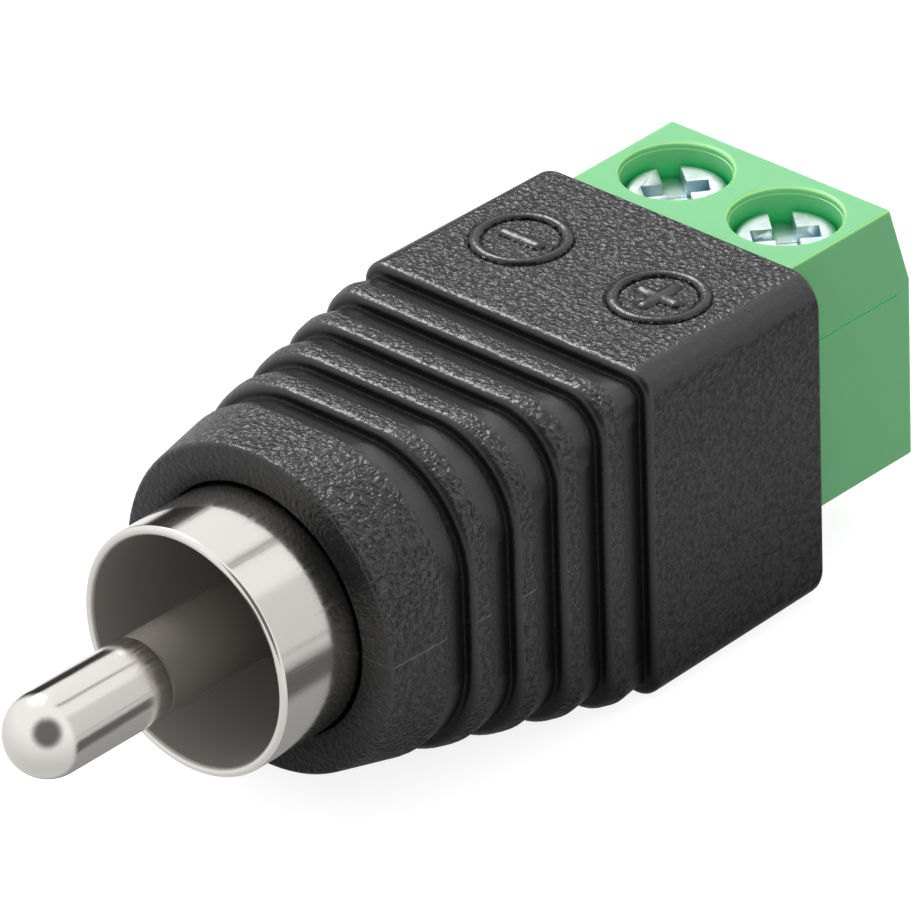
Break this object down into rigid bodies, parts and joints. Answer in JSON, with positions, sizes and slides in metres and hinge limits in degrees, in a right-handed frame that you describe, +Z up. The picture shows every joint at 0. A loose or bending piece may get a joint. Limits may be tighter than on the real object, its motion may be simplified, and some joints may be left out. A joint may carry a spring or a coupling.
{
  "type": "rca terminal block adapter",
  "caption": "Black moulded phono plug with a plated collar and centre pin, and a green screw terminal block at its rear for two bare wires.",
  "frame": {"origin": "the middle of the part's length and width, at the height of the moulded body's flat underside", "axes": "+Y runs from the plug's tip to the terminals, +Z up out of the face with the screws, and +X towards the plus terminal"},
  "size_m": [0.0132, 0.0396, 0.0132],
  "materials": {
    "black_pvc": "leather-grain moulded black PVC, semi-matt",
    "black_insulator": "smooth glossy black plastic",
    "green_polyamide": "satin mint-green polyamide",
    "nickel_plate": "bright nickel plate on brass",
    "zinc_plate": "bright zinc plate on steel, faintly blue",
    "tinned_brass": "tinned stamped brass",
    "tinned_copper": "tinned copper wire"
  },
  "bodies": {
    "root": {"body_overmould": "black_pvc", "plug_collar": "nickel_plate", "centre_pin": "nickel_plate", "pin_insulator": "black_insulator", "terminal_housing": "green_polyamide", "contact_minus": "tinned_brass", "contact_plus": "tinned_brass", "link_wire_minus": "tinned_copper", "link_wire_plus": "tinned_copper"},
    "screw_minus": {"clamp_screw_minus": "zinc_plate"},
    "screw_plus": {"clamp_screw_plus": "zinc_plate"},
    "clamp_minus": {"wire_clamp_minus": "zinc_plate"},
    "clamp_plus": {"wire_clamp_plus": "zinc_plate"}
  },
  "joints": [
    {"name": "screw_minus_turn", "type": "hinge", "parent": "root", "child": "screw_minus", "pos_m": [-0.0025, 0.01615, 0.01045], "axis": [0, 0, -1], "range_deg": [0, 1260]},
    {"name": "screw_plus_turn", "type": "hinge", "parent": "root", "child": "screw_plus", "pos_m": [0.0025, 0.01615, 0.01045], "axis": [0, 0, -1], "range_deg": [0, 1260]},
    {"name": "clamp_minus_rise", "type": "slide", "parent": "root", "child": "clamp_minus", "axis": [0, 0, 1], "range_m": [0, 0.00158]},
    {"name": "clamp_plus_rise", "type": "slide", "parent": "root", "child": "clamp_plus", "axis": [0, 0, 1], "range_m": [0, 0.00158]}
  ],
  "couplings": [
    {"joint": "screw_minus_turn", "follows": "clamp_minus_rise", "rad_per_m": 13963},
    {"joint": "screw_plus_turn", "follows": "clamp_plus_rise", "rad_per_m": 13963}
  ]
}
